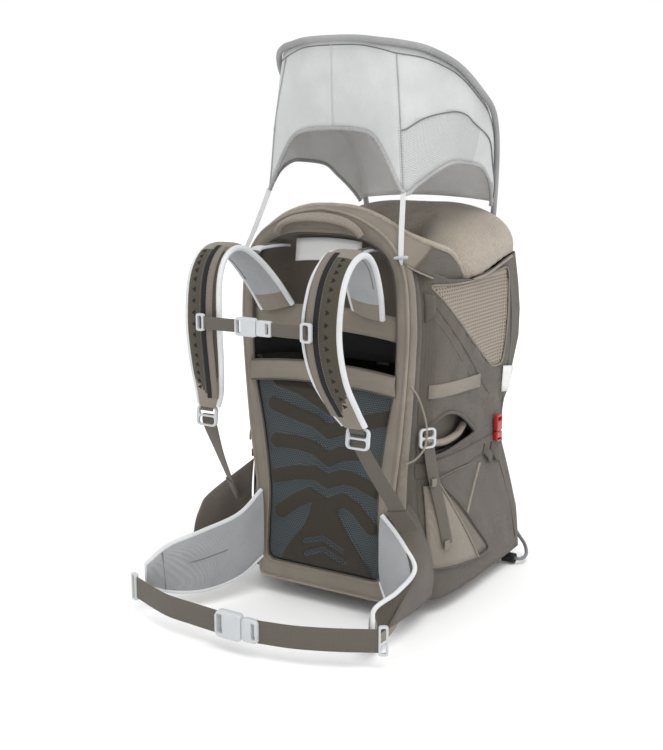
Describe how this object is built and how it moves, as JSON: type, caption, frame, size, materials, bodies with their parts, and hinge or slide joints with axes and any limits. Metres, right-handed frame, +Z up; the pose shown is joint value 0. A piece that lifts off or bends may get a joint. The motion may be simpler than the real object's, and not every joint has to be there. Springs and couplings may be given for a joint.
{
  "type": "child carrier backpack",
  "caption": "Child carrier backpack with a framed back panel, a padded cockpit, a folding sunshade, a rear kickstand, shoulder straps and a hip belt.",
  "frame": {"origin": "on the ground, at the middle of the base tray's flat underside, midway between its sides and between its front and rear edges", "axes": "+Z up, the wearer stands at -Y and faces -Y, +X towards the wearer's left"},
  "size_m": [0.4709, 0.6625, 0.9493],
  "materials": {
    "frame_metal": "anodised tube",
    "stand_metal": "grey powder coat",
    "base_plastic": "moulded, fine texture",
    "taupe_fabric": "ripstop weave",
    "beige_fabric": "brushed knit",
    "beige_mesh": "open mesh",
    "dark_mesh": "spacer mesh",
    "grey_fabric": "brushed knit",
    "shade_fabric": "smooth coated weave",
    "webbing": "woven tape",
    "pale_webbing": "woven tape",
    "pale_plastic": "satin moulded",
    "red_plastic": "satin moulded",
    "black_rubber": "matte"
  },
  "bodies": {
    "pack": {"frame_hoop": "frame_metal", "seat_frame": "frame_metal", "base_tray": "base_plastic", "front_cover": "beige_fabric", "back_panel": "dark_mesh", "cross_band": "beige_fabric", "recess_lining": "beige_fabric", "front_collar": "taupe_fabric", "haul_handle": "beige_fabric", "lower_bag": "taupe_fabric", "cockpit_shell": "taupe_fabric", "side_mesh_left": "beige_mesh", "side_mesh_right": "beige_mesh", "stirrup_flap_left": "taupe_fabric", "side_web_left": "webbing", "side_socket_left": "red_plastic", "stirrup_flap_right": "taupe_fabric", "side_web_right": "webbing", "side_socket_right": "red_plastic", "headrest_pad": "beige_fabric", "child_harness": "grey_fabric", "kickstand_lug_left": "base_plastic", "kickstand_lug_right": "base_plastic", "lifter_hook_left": "pale_plastic", "lifter_hook_right": "pale_plastic", "hip_wing_right": "grey_fabric", "hip_wing_left": "grey_fabric", "hip_web_right": "webbing", "hip_web_left": "webbing", "hip_slider_right": "pale_plastic", "hip_slider_left": "pale_plastic", "hip_socket": "pale_plastic"},
    "kickstand": {"kickstand_hoop": "stand_metal", "kickstand_foot_left": "black_rubber", "kickstand_foot_right": "black_rubber"},
    "sunshade": {"shade_hoop": "pale_plastic", "shade_canopy": "shade_fabric", "shade_strap_left": "pale_webbing", "shade_strap_right": "pale_webbing", "shade_toggle_left": "pale_plastic", "shade_toggle_right": "pale_plastic"},
    "seat": {"child_seat": "beige_fabric"},
    "harness": {"harness_yoke": "base_plastic", "shoulder_strap_left": "dark_mesh", "shoulder_strap_right": "dark_mesh", "shoulder_web_left": "webbing", "shoulder_web_right": "webbing"},
    "shoulder_lock_left": {"shoulder_lock_left": "pale_plastic"},
    "shoulder_lock_right": {"shoulder_lock_right": "pale_plastic"},
    "sternum": {"sternum_slider_left": "pale_plastic", "sternum_slider_right": "pale_plastic", "sternum_web_left": "webbing", "sternum_web_right": "webbing", "sternum_socket": "pale_plastic"},
    "sternum_clip": {"sternum_clip": "pale_plastic"},
    "hip_clip": {"hip_clip": "pale_plastic"},
    "side_lock_left": {"side_lock_left": "pale_plastic"},
    "side_lock_right": {"side_lock_right": "pale_plastic"},
    "side_clip_left": {"side_clip_left": "red_plastic"},
    "side_clip_right": {"side_clip_right": "red_plastic"}
  },
  "joints": [
    {"name": "kickstand_swing", "type": "hinge", "parent": "pack", "child": "kickstand", "pos_m": [0, 0.1645, 0.25], "axis": [1, 0, 0], "range_deg": [0, 25]},
    {"name": "sunshade_fold", "type": "hinge", "parent": "pack", "child": "sunshade", "pos_m": [0, 0.1645, 0.604], "axis": [-1, 0, 0], "range_deg": [0, 95]},
    {"name": "seat_height", "type": "slide", "parent": "pack", "child": "seat", "axis": [0, 0, 1], "range_m": [0, 0.04]},
    {"name": "harness_slide", "type": "slide", "parent": "pack", "child": "harness", "axis": [0, 0, 1], "range_m": [-0.03, 0.03], "deforming": ["shoulder_web_left", "shoulder_web_right", "lifter_hook_left", "lifter_hook_right"]},
    {"name": "sternum_height", "type": "slide", "parent": "harness", "child": "sternum", "axis": [0, 0, 1], "range_m": [-0.03, 0.03]},
    {"name": "sternum_release", "type": "slide", "parent": "sternum", "child": "sternum_clip", "axis": [1, 0, 0], "range_m": [0, 0.02], "deforming": ["sternum_web_left"]},
    {"name": "hip_release", "type": "slide", "parent": "pack", "child": "hip_clip", "axis": [1, 0, 0], "range_m": [0, 0.03], "deforming": ["hip_web_left"]},
    {"name": "shoulder_lock_tilt_left", "type": "hinge", "parent": "harness", "child": "shoulder_lock_left", "pos_m": [0.1435, -0.329, 0.355], "axis": [-1, 0, 0], "range_deg": [0, 35]},
    {"name": "side_lock_tilt_left", "type": "hinge", "parent": "pack", "child": "side_lock_left", "pos_m": [0.1685, -0.1555, 0.321], "axis": [-0.4794, -0.8776, 0], "range_deg": [0, 35]},
    {"name": "side_release_left", "type": "slide", "parent": "pack", "child": "side_clip_left", "axis": [0, 0, 1], "range_m": [0, 0.02]},
    {"name": "shoulder_lock_tilt_right", "type": "hinge", "parent": "harness", "child": "shoulder_lock_right", "pos_m": [-0.1435, -0.329, 0.355], "axis": [-1, 0, 0], "range_deg": [0, 35]},
    {"name": "side_lock_tilt_right", "type": "hinge", "parent": "pack", "child": "side_lock_right", "pos_m": [-0.1685, -0.1555, 0.321], "axis": [-0.4794, 0.8776, 0], "range_deg": [0, 35]},
    {"name": "side_release_right", "type": "slide", "parent": "pack", "child": "side_clip_right", "axis": [0, 0, 1], "range_m": [0, 0.02]}
  ]
}
